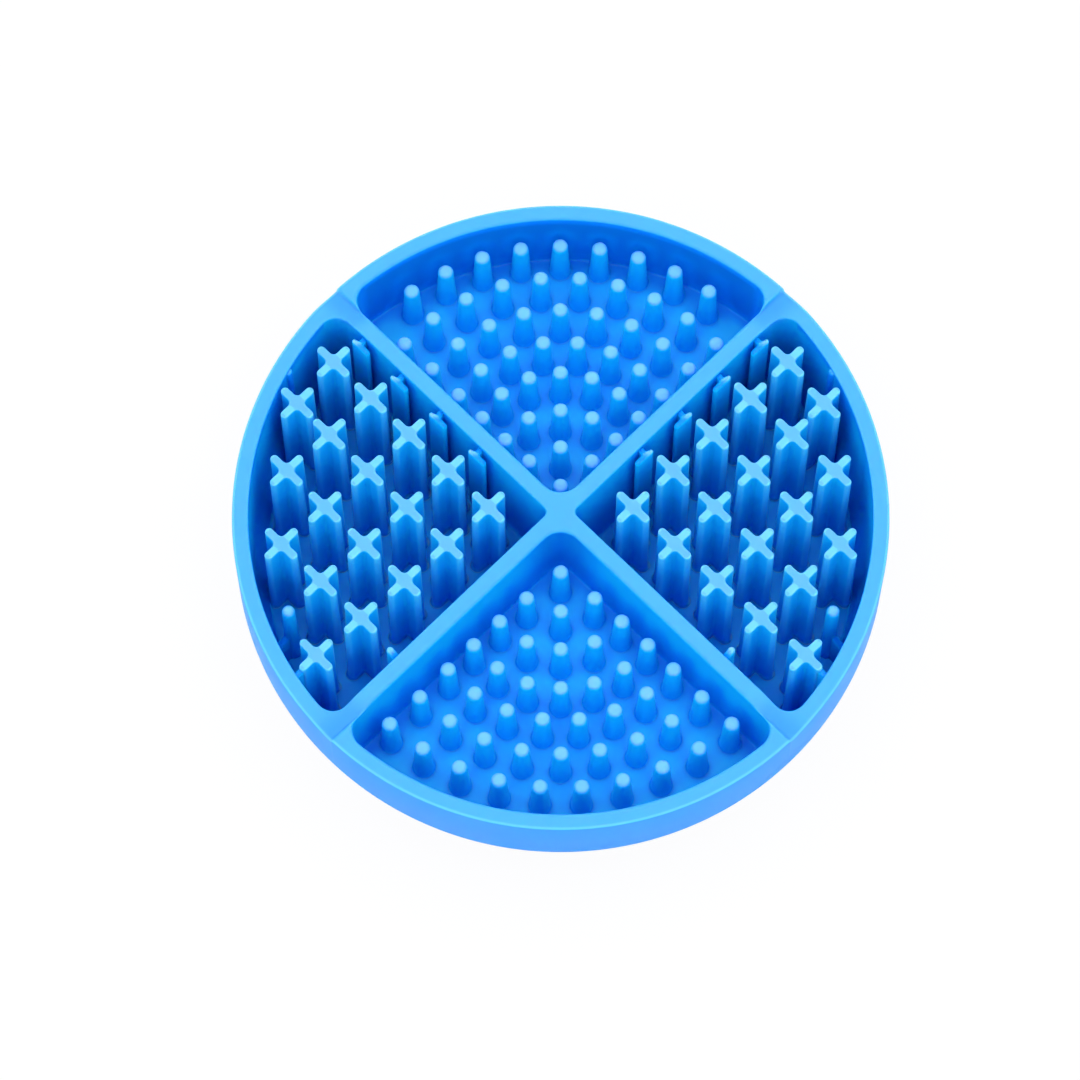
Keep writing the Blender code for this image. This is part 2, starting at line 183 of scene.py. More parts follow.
# Painted highlights on the tops of the rim, the posts and the tips of nubs and fins, painted shade on the
# dished rim ends, and painted highlights along edges
RIM_HIGHLIGHT_BLUE = (0.068, 0.385, 1.0, 1.0)
POST_HIGHLIGHT_BLUE = (0.113, 0.420, 1.0, 1.0)
TIP_HIGHLIGHT_BLUE = (0.152, 0.465, 1.0, 1.0)
DISH_SHADE_BLUE = (0.044, 0.315, 0.97, 1.0)
EDGE_HIGHLIGHT_BLUE = (0.19, 0.65, 1.0, 1.0)

# Heights between which a tint comes in; the foot's run downwards, since that tint lies below them
FLOOR_HEIGHTS = (0.008, 0.018)
TOP_HEIGHTS = (0.044, 0.047)
NUB_TIP_HEIGHTS = (0.0395, 0.0412)
FIN_TIP_HEIGHTS = (0.0486, 0.0496)
HEAD_HEIGHTS = (-0.012, 0.030)
NUB_HEAD_HEIGHTS = (-0.016, 0.040)
FOOT_HEIGHTS = (0.028, 0.024)
GLOW_HEIGHTS = (0.004, 0.042)

# Marks on the body's vertices, where highlight, glow and shade are painted, and how far they reach
RIM_EDGE_HIGHLIGHT = "rim_edge_highlight"
RIM_EDGE_LIMITS = (0.3, 1.0)
DISH_SHADE = "dish"
GLOW = "glow"
SHADE = "shade"
GLOW_REACH = 0.0030
SHADE_REACHES = (0.003, 0.009)
HUB_SHADE_REACHES = (0.006, 0.030)
HUB_SHADE = 0.7

# How far a face points up, an edge stands out or a place lies open for a tint of painted light, highlight or
# shade; open shares run downwards
FACING = (0.25, 0.9)
EDGE_POINTINESS = (0.51, 0.56)
EDGE_HIGHLIGHT_SHARE = 0.5
CORNER_SAMPLES = 8
CORNER_REACH = 0.006
CORNER_SHARES = (0.92, 0.60)

# Surface and depth of the silicone
CLOUD_SCALE = 22.0
ROUGHNESS_RANGE = (0.34, 0.42)
GRAIN_SCALE = 1400.0
GRAIN_STRENGTH = 0.06
GRAIN_DEPTH = 0.0001
SILICONE_IOR = 1.22
SCATTER_WEIGHT = 1.0
SCATTER_RADIUS = (0.3, 0.7, 0.7)
BODY_SCATTER = 0.001
SLIM_SCATTER = 0.0025

# Surroundings, lamp and floor
SKY_HEIGHTS = (0.42, 0.95)
SKY_LOW = 0.65
SKY_HIGH = 2.35
SKY_SEEN = 1.0
FRONT_SIZE = 0.5
FRONT_DISTANCE = 2.0
FRONT_ELEVATION = math.radians(45)
FRONT_POWER = 2.7
FLOOR_SIZE = 6.0
FLOOR_DROP = 0.0002
FLOOR_WHITE = 0.75
FLOOR_GLOW = 0.94
FLOOR_ROUGHNESS = 1.0
WHITE = (1.0, 1.0, 1.0, 1.0)

# How far pieces reach into what they stand on
EMBED = 0.0006

# How finely shapes are divided; a span is its end and its steps along half of a quarter's boundary
SUPPORT = 0.00015
STATION_SPANS = ((0.105, 14), (0.80, 18), (1.0, 28), (1.16, 18), (2.0, 28))
FLAT_STEPS = 12
EDGE_STEPS = 6
WALL_STEPS = 8
COVE_STEPS = 5
CAP_STEPS = 8
ROUND_SIDES = 32
MERGE_DISTANCE = 1e-6
ANGLE_DIGITS = 9

# Turns, and the wells that lie at them
ROOT_HALF = math.sqrt(0.5)
EIGHTH = math.pi / 4
QUARTER = math.pi / 2
WELL_TURNS = {"right": 0.0, "back": QUARTER, "left": math.pi, "front": -QUARTER}
NUB_WELLS = ("back", "front")
CROSS_WELLS = ("left", "right")


def polar(centre, radius, angle):
    return (centre[0] + radius * math.cos(angle), centre[1] + radius * math.sin(angle))


def arc(centre, radius, start, end, steps):
    """Points along an arc, both ends included."""
    return [polar(centre, radius, start + (end - start) * i / steps) for i in range(steps + 1)]


def turned(points, angle):
    c = math.cos(angle)
    s = math.sin(angle)
    return [(c * x - s * y, s * x + c * y, *rest) for x, y, *rest in points]


def between(a, b, share):
    return tuple(p + (q - p) * share for p, q in zip(a, b))


def smooth_step(low, high, value):
    t = min(1.0, max(0.0, (value - low) / (high - low)))
    return t * t * (3 - 2 * t)


def along_divider(distance, offset):
    """Point along the divider at +45 degrees, offset from its middle line into the well at +X."""
    return (ROOT_HALF * (distance + offset), ROOT_HALF * (distance - offset))


def corner_centre(radius, half_width, fillet):
    """Middle of the fillet between the divider's side and a circle about the bowl's middle."""
    across = (half_width + fillet) / ROOT_HALF
    x = (across + math.sqrt(2 * (radius - fillet) ** 2 - across**2)) / 2
    return (x, x - across)


def stations():
    """Places along half of a quarter's boundary: 0 to 1 out along the divider, 1 to 2 along the rim."""
    places = [0.0]
    for end, steps in STATION_SPANS:
        start = places[-1]
        places += [start + (end - start) * (i + 1) / steps for i in range(steps)]
    return places


def boundary_point(t, bound):
    if t <= 1:
        return along_divider(t * bound, 0)
    return polar((0, 0), bound, EIGHTH * (2 - t))


def well_point(t, bound, half, radius, hub_fillet, corner_fillet):
    """Point of a well's outline that faces station t, in the half of the well at +Y."""
    hub_end = half + hub_fillet
    distance = t * bound
    if distance <= hub_end:
        angle = math.pi - EIGHTH * distance / hub_end
        return polar((hub_end / ROOT_HALF, 0), hub_fillet, angle)
    centre = corner_centre(radius, half, corner_fillet)
    turn = math.atan2(centre[1], centre[0])
    corner_start = ROOT_HALF * sum(centre) / bound
    corner_end = 2 - turn / EIGHTH
    if t <= corner_start:
        return along_divider(distance, half)
    if t <= corner_end:
        share = (t - corner_start) / (corner_end - corner_start)
        return polar(centre, corner_fillet, 3 * EIGHTH + (turn - 3 * EIGHTH) * share)
    return polar((0, 0), radius, EIGHTH * (2 - t))


def well_fillets(side):
    if side in NUB_WELLS:
        return NUB_HUB_FILLET, NUB_CORNER_FILLET
    return CROSS_HUB_FILLET, CROSS_CORNER_FILLET


def quarter_column(t, side, bound, flat_z, levels):
    """Points from the quarter's boundary across its flat face, and down through the levels of its well."""
    hub_fillet, corner_fillet = well_fillets(side)
    points = []
    for inset, inset_at_rim, z in levels:
        hub = max(SHARPEST_FILLET, hub_fillet - inset)
        corner = max(SHARPEST_FILLET, corner_fillet - inset)
        outline = (HALF_DIVIDER + inset, WELL_RADIUS - inset_at_rim, hub, corner)
        points.append((*well_point(t, bound, *outline), z))
    start = (*boundary_point(t, bound), flat_z)
    return [between(start, points[0], i / FLAT_STEPS) for i in range(FLAT_STEPS)] + points


def add_columns(bm, columns):
    """Skins a closed loop of columns of points, and gives the vertices at the columns' ends."""
    grid = [[bm.verts.new(point) for point in column] for column in columns]
    for near, far in zip(grid, grid[1:] + grid[:1]):
        for i in range(len(near) - 1):
            bm.faces.new((near[i], far[i], far[i + 1], near[i + 1]))
    return [column[-1] for column in grid]


def add_rings(bm, rings):
    """Closed solid through rings of equal point counts, from the top one down."""
    columns = [list(column) for column in zip(*rings)]
    bm.faces.new(add_columns(bm, columns))
    first = len(bm.verts) - len(columns) * len(rings)
    bm.verts.ensure_lookup_table()
    bm.faces.new([bm.verts[first + i * len(rings)] for i in range(len(columns))])


def add_quarter(bm, side, bound, flat_z, levels):
    """A quarter of the bowl's upper or lower face, with its well and the well's flat floor."""
    half = [quarter_column(t, side, bound, flat_z, levels) for t in stations()]
    mirror = [[(x, -y, z) for x, y, z in column] for column in half[-2:0:-1]]
    columns = [turned(column, WELL_TURNS[side]) for column in half + mirror]
    bm.faces.new(add_columns(bm, columns))


def draw_in(z):
    """How far the base wall is drawn in at this height."""
    return BASE_DRAW_IN * max(0.0, BASE_BEND_Z - z) / BASE_BEND_Z


def well_levels(edge, draft, cove, floor_z):
    """Insets and heights down a well: rounded top edge, drafted wall, cove and the start of the floor."""
    levels = [(-edge - SUPPORT, -edge - SUPPORT, TOP)]
    for x, z in arc((-edge, TOP - edge), edge, QUARTER, 0, EDGE_STEPS):
        levels.append((x, x, z))
    wall_top = TOP - edge
    wall_foot = floor_z + cove
    for i in range(1, WALL_STEPS + 1):
        z = wall_top + (wall_foot - wall_top) * i / WALL_STEPS
        inset = draft * i / WALL_STEPS
        levels.append((inset, inset + draw_in(z), z))
    foot_in = draw_in(wall_foot)
    for x, z in arc((draft + cove, wall_foot), cove, math.pi, 3 * QUARTER, COVE_STEPS)[1:]:
        levels.append((x, x + foot_in, z))
    end = draft + cove + SUPPORT
    return levels + [(end, end + foot_in, floor_z)]


def recess_levels():
    """Insets and heights up the hollow under a nub well."""
    foot_in = draw_in(0)
    levels = [(-RECESS_EDGE - SUPPORT, foot_in - RECESS_EDGE - SUPPORT, 0)]
    for x, z in arc((-RECESS_EDGE, RECESS_EDGE), RECESS_EDGE, -QUARTER, 0, EDGE_STEPS):
        levels.append((x, x + foot_in, z))
    wall_top = NUB_UNDERSIDE_Z - RECESS_COVE
    for i in range(1, WALL_STEPS + 1):
        z = RECESS_EDGE + (wall_top - RECESS_EDGE) * i / WALL_STEPS
        levels.append((0, draw_in(z), z))
    top_in = draw_in(wall_top)
    for x, z in arc((RECESS_COVE, wall_top), RECESS_COVE, math.pi, QUARTER, COVE_STEPS)[1:]:
        levels.append((x, x + top_in, z))
    end = RECESS_COVE + SUPPORT
    return levels + [(end, end + top_in, NUB_UNDERSIDE_Z)]


def outer_profile(top_bound, under_bound):
    """Radius and height down the outside: rim edge, skirt, and the drawn-in base under it."""
    profile = [(top_bound, TOP)]
    profile += arc((BOWL_RADIUS - OUTER_EDGE, TOP - OUTER_EDGE), OUTER_EDGE, QUARTER, 0, EDGE_STEPS)
    skirt_centre = (BOWL_RADIUS - SKIRT_EDGE, SKIRT_BOTTOM + SKIRT_EDGE)
    profile += arc(skirt_centre, SKIRT_EDGE, 0, -QUARTER, EDGE_STEPS)
    corner = (BASE_RADIUS + BASE_INSIDE_CORNER, SKIRT_BOTTOM - BASE_INSIDE_CORNER)
    profile += arc(corner, BASE_INSIDE_CORNER, QUARTER, math.pi, COVE_STEPS)
    for i in range(WALL_STEPS + 1):
        z = BASE_BEND_Z + (FOOT_EDGE - BASE_BEND_Z) * i / WALL_STEPS
        profile.append((BASE_RADIUS - draw_in(z), z))
    edge_centre = (BASE_RADIUS - draw_in(FOOT_EDGE) - FOOT_EDGE, FOOT_EDGE)
    profile += arc(edge_centre, FOOT_EDGE, 0, -QUARTER, EDGE_STEPS)[1:]
    return profile + [(under_bound, 0)]


def add_outside(bm, top_bound, under_bound):
    half = [EIGHTH * (2 - t) for t in stations() if t >= 1]
    angles = [turn + a for turn in WELL_TURNS.values() for a in half + [-a for a in half[-2:0:-1]]]
    angles += [turn - EIGHTH for turn in WELL_TURNS.values()]
    angles = sorted({round(a % (2 * math.pi), ANGLE_DIGITS) for a in angles})
    profile = outer_profile(top_bound, under_bound)
    add_columns(bm, [[(*polar((0, 0), r, a), z) for r, z in profile] for a in angles])


def add_flat_underside(bm, side, bound):
    half = [boundary_point(t, bound) for t in stations()]
    outline = half + [(x, -y) for x, y in half[-2:0:-1]]
    bm.faces.new([bm.verts.new((x, y, 0)) for x, y in turned(outline, WELL_TURNS[side])])


def dish(x, y):
    """How far the rim's top lies below its level, on the cross wells' side of a crease."""
    along = ROOT_HALF * (abs(x) + abs(y))
    past_crease = ROOT_HALF * (abs(x) - abs(y)) + HALF_DIVIDER
    at_rim = smooth_step(DISH_START, DISH_START + DISH_FADE, along)
    fall = 1 - smooth_step(0, DISH_LENGTH, past_crease)
    edge = smooth_step(-CREASE_WIDTH / 2, CREASE_WIDTH / 2, past_crease)
    ridge = max(0.0, 1 - abs(past_crease) / CREASE_WIDTH)
    return at_rim * (DISH_DEPTH * fall * edge - CREASE_RISE * ridge)


def rim_edge_highlight_mark(place):
    """1 in the middle of the rim's rounded outer edge, 0 off it: where a highlight line is painted."""
    up = place.z - TOP + OUTER_EDGE
    out = place.to_2d().length - BOWL_RADIUS + OUTER_EDGE
    return math.sin(2 * math.atan2(up, out)) if up > 0 and out > 0 else 0.0


def dished(place):
    """How far a place on or near the rim's top is let down."""
    return smooth_step(TOP - DISH_HEIGHT, TOP, place.z) * dish(place.x, place.y)


def dish_shade_mark(place):
    """1 where the rim's top is dished most, 0 where it is level: where shade is painted on the dished rim
    ends.
    """
    return max(0.0, dished(place)) / DISH_DEPTH


def above_walls(place):
    """Whether a place lies at or past the top of the wells' outer walls, where their edge rounds off."""
    return place.to_2d().length > WELL_RADIUS - MERGE_DISTANCE


def past_divider(place):
    """How far a place lies past a divider's side into a nub well."""
    return ROOT_HALF * (abs(place.y) - abs(place.x)) - HALF_DIVIDER


def glow_mark(place):
    """1 high on the dividers' sides and the cross wells' walls, 0 low on them: painted glow, as of light
    that comes through.
    """
    if above_walls(place):
        return 0.0
    return (1 - smooth_step(0, GLOW_REACH, past_divider(place))) * smooth_step(*GLOW_HEIGHTS, place.z)


def shade_mark(place):
    """1 down the outer walls of the nub wells, less at their ends by the hub, and 0 between."""
    if above_walls(place):
        return 0.0
    in_nub_well = smooth_step(-HALF_DIVIDER, 0, past_divider(place))
    by_hub = HUB_SHADE * (1 - smooth_step(*HUB_SHADE_REACHES, place.to_2d().length))
    return max(in_nub_well * by_hub, smooth_step(*SHADE_REACHES, past_divider(place)))


def mark_vertices(bm):
    marks = ((RIM_EDGE_HIGHLIGHT, rim_edge_highlight_mark), (DISH_SHADE, dish_shade_mark), (GLOW, glow_mark), (SHADE, shade_mark))
    for name, mark in marks:
        layer = bm.verts.layers.float.new(name)
        for vertex in bm.verts:
            vertex[layer] = mark(vertex.co)


def new_piece(name, bm, material, *nodes):
    """Makes a closed, smooth silicone piece of a bmesh, in place of these nodes."""
    bmesh.ops.remove_doubles(bm, verts=bm.verts, dist=MERGE_DISTANCE)
    bmesh.ops.recalc_face_normals(bm, faces=bm.faces)
    mesh = bpy.data.meshes.new(name)
    bm.to_mesh(mesh)
    bm.free()
    mesh.shade_smooth()
    mesh.materials.append(material)
    piece = bpy.data.objects.new(name, mesh)
    bpy.context.scene.collection.objects.link(piece)
    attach(piece, "root")
    if nodes:
        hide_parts(*nodes)


def bowl_body():
    """The moulding without what stands in its wells."""
    top_bound = BOWL_RADIUS - OUTER_EDGE - SUPPORT
    under_bound = FOOT_RADIUS - FOOT_EDGE - SUPPORT
    nub_well = well_levels(NUB_WELL_EDGE, NUB_WELL_DRAFT, NUB_WELL_COVE, NUB_FLOOR_Z)
    cross_well = well_levels(CROSS_WELL_EDGE, CROSS_WELL_DRAFT, CROSS_WELL_COVE, CROSS_FLOOR_Z)
    bm = bmesh.new()
    for side in NUB_WELLS:
        add_quarter(bm, side, top_bound, TOP, nub_well)
        add_quarter(bm, side, under_bound, 0, recess_levels())
    for side in CROSS_WELLS:
        add_quarter(bm, side, top_bound, TOP, cross_well)
        add_flat_underside(bm, side, under_bound)
    add_outside(bm, top_bound, under_bound)
    mark_vertices(bm)
    for vertex in bm.verts:
        vertex.co.z -= dished(vertex.co)
    nodes = ["hub"]
    nodes += [f"{kind}_{side}" for kind in ("rim", "base_wall") for side in WELL_TURNS]
    nodes += [f"divider_{end}_{side}" for end in NUB_WELLS for side in CROSS_WELLS]
    nodes += [f"cross_floor_{side}" for side in CROSS_WELLS]
    new_piece("bowl_body", bm, BODY_SILICONE, *nodes)


def circle(centre, radius):
    return [polar(centre, radius, 2 * math.pi * i / ROUND_SIDES) for i in range(ROUND_SIDES)]


def add_lathe(bm, centre, profile):
    """Turns a profile of radius and height, from the top down, about an upright axis."""
    add_rings(bm, [[(x, y, z) for x, y in circle(centre, radius)] for radius, z in profile])


def nub_profile():
    """A nub from its crowned tip down its cone to the flared foot."""
    tip_z = NUB_FLOOR_Z + NUB_HEIGHT
    flat = NUB_TIP_RADIUS - NUB_TIP_EDGE
    profile = []
    for i in range(1, CAP_STEPS // 2):
        r = flat * i / (CAP_STEPS // 2)
        profile.append((r, tip_z - NUB_TIP_CROWN * (r / flat) ** 2))
    edge_centre = (flat, tip_z - NUB_TIP_CROWN - NUB_TIP_EDGE)
    profile += arc(edge_centre, NUB_TIP_EDGE, QUARTER, 0, CAP_STEPS)
    cone_top = edge_centre[1]
    cone_foot = NUB_FLOOR_Z + NUB_FLARE
    for i in range(1, WALL_STEPS + 1):
        share = i / WALL_STEPS
        radius = NUB_TIP_RADIUS + (NUB_FOOT_RADIUS - NUB_TIP_RADIUS) * share
        profile.append((radius, cone_top + (cone_foot - cone_top) * share))
    flare = arc((NUB_FOOT_RADIUS + NUB_FLARE, cone_foot), NUB_FLARE, math.pi, 3 * QUARTER, COVE_STEPS)
    end = NUB_FOOT_RADIUS + NUB_FLARE + NUB_FOOT_RUN
    return profile + flare[1:] + [(end, NUB_FLOOR_Z - NUB_FOOT_SINK), (end, NUB_FLOOR_Z - NUB_EMBED)]


def tip_centres(node):
    """Middles of the highest flat faces of a node, one for each nub or post in it."""
    points = [vertex.co for vertex in frame["nodes"][node].data.vertices]
    top = max(point.z for point in points)
    groups = []
    for point in points:
        if point.z < top - MERGE_DISTANCE:
            continue
        for group in groups:
            if (group[0] - point).length < 2 * NUB_TIP_RADIUS:
                group.append(point)
                break
        else:
            groups.append([point])
    return [sum(group, Vector()) / len(group) for group in groups]


def nubs(side):
    bm = bmesh.new()
    for centre in tip_centres(f"nub_bed_{side}"):
        add_lathe(bm, centre, nub_profile())
    new_piece(f"nubs_{side}", bm, NUB_SILICONE, f"nub_bed_{side}")


def cross_outline(inset):
    """X section, drawn in by this inset: four arms with round ends, and fillets between them."""
    half_arm = POST_ARM / 2
    reach = POST_LENGTH / 2 - half_arm
    notch = half_arm + POST_NOTCH_FILLET
    points = []
    for i in range(4):
        turn = QUARTER * i + EIGHTH
        arm_end = turned([(reach, 0)], turn)[0]
        points += arc(arm_end, half_arm - inset, turn - QUARTER, turn + QUARTER, CAP_STEPS)
        fillet_centre = turned([(notch, notch)], turn)[0]
        fillet = POST_NOTCH_FILLET + inset
        points += arc(fillet_centre, fillet, turn - QUARTER, turn - 2 * QUARTER, CAP_STEPS)
    return points


def post_levels():
    """Insets and heights down an X post: rounded top edge, drafted side and flared foot."""
    levels = [(POST_EDGE + SUPPORT, TOP)]
    levels += [(-x, z) for x, z in arc((-POST_EDGE, TOP - POST_EDGE), POST_EDGE, QUARTER, 0, EDGE_STEPS)]
    side_top = TOP - POST_EDGE
    side_foot = CROSS_FLOOR_Z + POST_FLARE
    for i in range(1, WALL_STEPS + 1):
        share = i / WALL_STEPS
        levels.append((-POST_DRAFT * share, side_top + (side_foot - side_top) * share))
    flare = arc((POST_DRAFT + POST_FLARE, side_foot), POST_FLARE, math.pi, 3 * QUARTER, COVE_STEPS)
    levels += [(-x, z) for x, z in flare[1:]]
    return levels + [(-POST_DRAFT - POST_FLARE, CROSS_FLOOR_Z - EMBED)]


def inside_wall(x, y, z):
    """A point, kept from passing through the middle of the outer wall."""
    share = min(1.0, (WELL_RADIUS - draw_in(z) + BASE_WALL / 2) / math.hypot(x, y))
    return (x * share, y * share, z)


def cross_post(node):
    low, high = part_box(node)
    middle = (low + high) / 2
    rings = []
    for inset, z in post_levels():
        rings.append([inside_wall(middle.x + x, middle.y + y, z) for x, y in cross_outline(inset)])
    bm = bmesh.new()
    add_rings(bm, rings)
    new_piece(node, bm, POST_SILICONE, node)


def capsule(start, end, half_width):
    """Plan of a straight bar with round ends."""
    angle = math.atan2(end[1] - start[1], end[0] - start[0])
    far_end = arc(end, half_width, angle - QUARTER, angle + QUARTER, CAP_STEPS)
    return far_end + arc(start, half_width, angle + QUARTER, angle + 3 * QUARTER, CAP_STEPS)


def fin_outline(inset, web_reach):
    """T section about the point where a fin's web meets its plate: the tip at +X, the web at +Y."""
    half = FIN_PLATE / 2
    half_web = FIN_WEB / 2
    fillet = FIN_FILLET + inset
    notch_x = half_web + FIN_FILLET
    notch_y = half + FIN_FILLET
    points = arc((FIN_TIP_REACH, 0), half - inset, -QUARTER, QUARTER, CAP_STEPS)
    points += arc((notch_x, notch_y), fillet, 3 * QUARTER, 2 * QUARTER, CAP_STEPS)
    points += [(half_web - inset, web_reach), (inset - half_web, web_reach)]
    points += arc((-notch_x, notch_y), fillet, 0, -QUARTER, CAP_STEPS)
    return points + arc((-FIN_END_REACH, 0), half - inset, QUARTER, 3 * QUARTER, CAP_STEPS)


def fin_fall(x, y):
    """How far a fin's top has fallen: from the tip to the plate's other end, and to the web."""
    length = FIN_TIP_REACH + FIN_END_REACH + FIN_PLATE
    along = smooth_step(-FIN_FALL_LEAD, length, FIN_TIP_REACH - x)
    aside = smooth_step(0, FIN_PLATE / 2 + FIN_FILLET, y)
    return max(FIN_END_FALL * along, FIN_WEB_FALL * aside)


def stub_outline(inset, web_reach):
    """A short bar from the divider, with a round end at the origin."""
    half = STUB_WIDTH / 2 - inset
    return arc((0, 0), half, -math.pi, 0, CAP_STEPS) + [(half, web_reach), (-half, web_reach)]


def stub_fall(_, y):
    return STUB_FALL * smooth_step(0, STUB_SLOPE, y)


def fin(name, outline, fall, to_bowl):
    """An upright piece beside a divider, with a rounded top edge and a top that falls from its tip."""
    web_reach = FIN_OFFSET - HALF_DIVIDER + EMBED
    levels = [(FIN_EDGE + SUPPORT, 0.0)]
    levels += [(-x, -z) for x, z in arc((-FIN_EDGE, -FIN_EDGE), FIN_EDGE, QUARTER, 0, EDGE_STEPS)]
    rings = []
    for inset, drop in levels:
        rings.append([(x, y, TOP - FIN_TIP_DROP - fall(x, y) - drop) for x, y in outline(inset, web_reach)])
    side_top = rings[-1]
    for i in range(1, WALL_STEPS + 1):
        rings.append([(x, y, z + (CROSS_FLOOR_Z - EMBED - z) * i / WALL_STEPS) for x, y, z in side_top])
    bm = bmesh.new()
    add_rings(bm, [[to_bowl(*point) for point in ring] for ring in rings])
    new_piece(name, bm, FIN_SILICONE)


def beside_divider(turn, mirror, place, own_turn):
    """Gives what takes a fin's own points to the divider at this turn, its origin at a place along it."""
    def to_bowl(x, y, z):
        x, y = turned([(x, y)], own_turn)[0]
        return (*turned([along_divider(place + x, mirror * (FIN_OFFSET - y))], turn)[0], z)
    return to_bowl


def fins():
    for i, (end, side) in enumerate(FIN_DIVIDERS):
        turn = QUARTER * i
        mirror = 1 if i % 2 == 0 else -1
        if end == "front":
            for number, place in enumerate(FRONT_FINS, 1):
                to_bowl = beside_divider(turn, mirror, place, 0)
                fin(f"fin_{end}_{side}_{number}", stub_outline, stub_fall, to_bowl)
        else:
            for number, place in enumerate(BACK_FINS, 1):
                to_bowl = beside_divider(turn, mirror, place - FIN_TIP_REACH, FIN_TURN)
                fin(f"fin_{end}_{side}_{number}", fin_outline, fin_fall, to_bowl)


def wall_post(side):
    """A round post with a domed top."""
    node = f"wall_post_{side}_1"
    bm = bmesh.new()
    centre = tip_centres(node)[0]
    dome = arc((0, WALL_POST_TOP - WALL_POST_RADIUS), WALL_POST_RADIUS, QUARTER, 0, CAP_STEPS)[1:]
    foot = (WALL_POST_RADIUS + WALL_POST_TAPER, CROSS_FLOOR_Z - EMBED)
    shaft = [between(dome[-1], foot, i / WALL_STEPS) for i in range(1, WALL_STEPS + 1)]
    add_lathe(bm, centre, dome + shaft)
    new_piece(node, bm, NUB_SILICONE, node)


def wall_end(start, z):
    """Where a web that runs as a post's outer front arm does, from this point, meets the outer wall."""
    outward = ROOT_HALF * Vector((math.copysign(1, start.x), -1))
    along = start.dot(outward)
    radius = WELL_RADIUS - draw_in(z)
    return start + outward * (math.sqrt(along**2 + radius**2 - start.length_squared) - along)


def web_to_wall(name, start, width, top, wall_top):
    """A web with a round, straight top from a point in a cross well to the outer wall, down to the floor."""
    edge = width / 2 - SUPPORT
    end = wall_end(start, wall_top)
    run = end - start
    rings = []
    for inset, z in arc((-edge, -edge), edge, QUARTER, 0, CAP_STEPS):
        outline = capsule(start, end, width / 2 + inset)
        shares = [(Vector(point) - start).dot(run) / run.length_squared for point in outline]
        rings.append([(x, y, z + top + (wall_top - top) * share) for (x, y), share in zip(outline, shares)])
    for z in (BASE_BEND_Z, CROSS_FLOOR_Z - EMBED):
        rings.append([(x, y, z) for x, y in capsule(start, wall_end(start, z), width / 2)])
    bm = bmesh.new()
    add_rings(bm, rings)
    new_piece(name, bm, FIN_SILICONE)


def wall_web(side):
    """The low web that joins a round post to the outer wall."""
    start = tip_centres(f"wall_post_{side}_1")[0].to_2d()
    web_to_wall(f"wall_web_{side}", start, WALL_WEB, WALL_WEB_TOP, WALL_WEB_END)


def post_web(side):
    """The web between the outer wall and the nearest arm of a well's foremost X post."""
    posts = [node for node in frame["nodes"] if node.startswith(f"cross_post_{side}")]
    low, high = min((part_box(node) for node in posts), key=lambda box: box[0].y)
    top = TOP - POST_WEB_DROP
    web_to_wall(f"post_web_{side}", ((low + high) / 2).to_2d(), POST_WEB, top, top)


def wall_rib(side):
    """A half-round rib up the outer wall."""
    turn = RIB_ANGLE if side == "right" else math.pi - RIB_ANGLE
    top = TOP - RIB_TOP_DROP
    levels = arc((0, top - RIB_RADIUS), RIB_RADIUS, QUARTER, 0, CAP_STEPS)[1:]
    foot = (RIB_RADIUS, CROSS_FLOOR_Z - EMBED)
    levels += [between(levels[-1], foot, i / WALL_STEPS) for i in range(1, WALL_STEPS + 1)]
    rings = []
    for radius, z in levels:
        draft = CROSS_WELL_DRAFT * (TOP - z) / (TOP - CROSS_FLOOR_Z)
        centre = polar((0, 0), WELL_RADIUS - draft - draw_in(z) - RIB_STANDS + RIB_RADIUS, turn)
        rings.append([(x, y, z) for x, y in circle(centre, radius)])
    bm = bmesh.new()
    add_rings(bm, rings)
    new_piece(f"wall_rib_{side}", bm, BODY_SILICONE)


def silicone(name, scatter):
    """Blue satin silicone: faintly cloudy in colour and sheen, with a fine moulded grain."""
    material = bpy.data.materials.new(name)
    material.use_nodes = True
    nodes = material.node_tree.nodes
    links = material.node_tree.links
    shader = nodes["Principled BSDF"]
    place = nodes.new("ShaderNodeTexCoord")
    cloud = nodes.new("ShaderNodeTexNoise")
    cloud.inputs["Scale"].default_value = CLOUD_SCALE
    colour = nodes.new("ShaderNodeValToRGB")
    colour.color_ramp.elements[0].color = DEEP_BLUE
    colour.color_ramp.elements[1].color = PALE_BLUE
    sheen = nodes.new("ShaderNodeMapRange")
    sheen.inputs["To Min"].default_value = ROUGHNESS_RANGE[0]
    sheen.inputs["To Max"].default_value = ROUGHNESS_RANGE[1]
    grain = nodes.new("ShaderNodeTexNoise")
    grain.inputs["Scale"].default_value = GRAIN_SCALE
    bump = nodes.new("ShaderNodeBump")
    bump.inputs["Strength"].default_value = GRAIN_STRENGTH
    bump.inputs["Distance"].default_value = GRAIN_DEPTH
    links.new(place.outputs["Object"], cloud.inputs["Vector"])
    links.new(place.outputs["Object"], grain.inputs["Vector"])
    links.new(cloud.outputs["Fac"], colour.inputs["Fac"])
    links.new(cloud.outputs["Fac"], sheen.inputs["Value"])
    links.new(grain.outputs["Fac"], bump.inputs["Height"])
    links.new(colour.outputs["Color"], shader.inputs["Base Color"])
    links.new(sheen.outputs["Result"], shader.inputs["Roughness"])
    links.new(bump.outputs["Normal"], shader.inputs["Normal"])
    shader.inputs["IOR"].default_value = SILICONE_IOR
    shader.inputs["Subsurface Weight"].default_value = SCATTER_WEIGHT
    shader.inputs["Subsurface Radius"].default_value = SCATTER_RADIUS
    shader.inputs["Subsurface Scale"].default_value = scatter
    return material


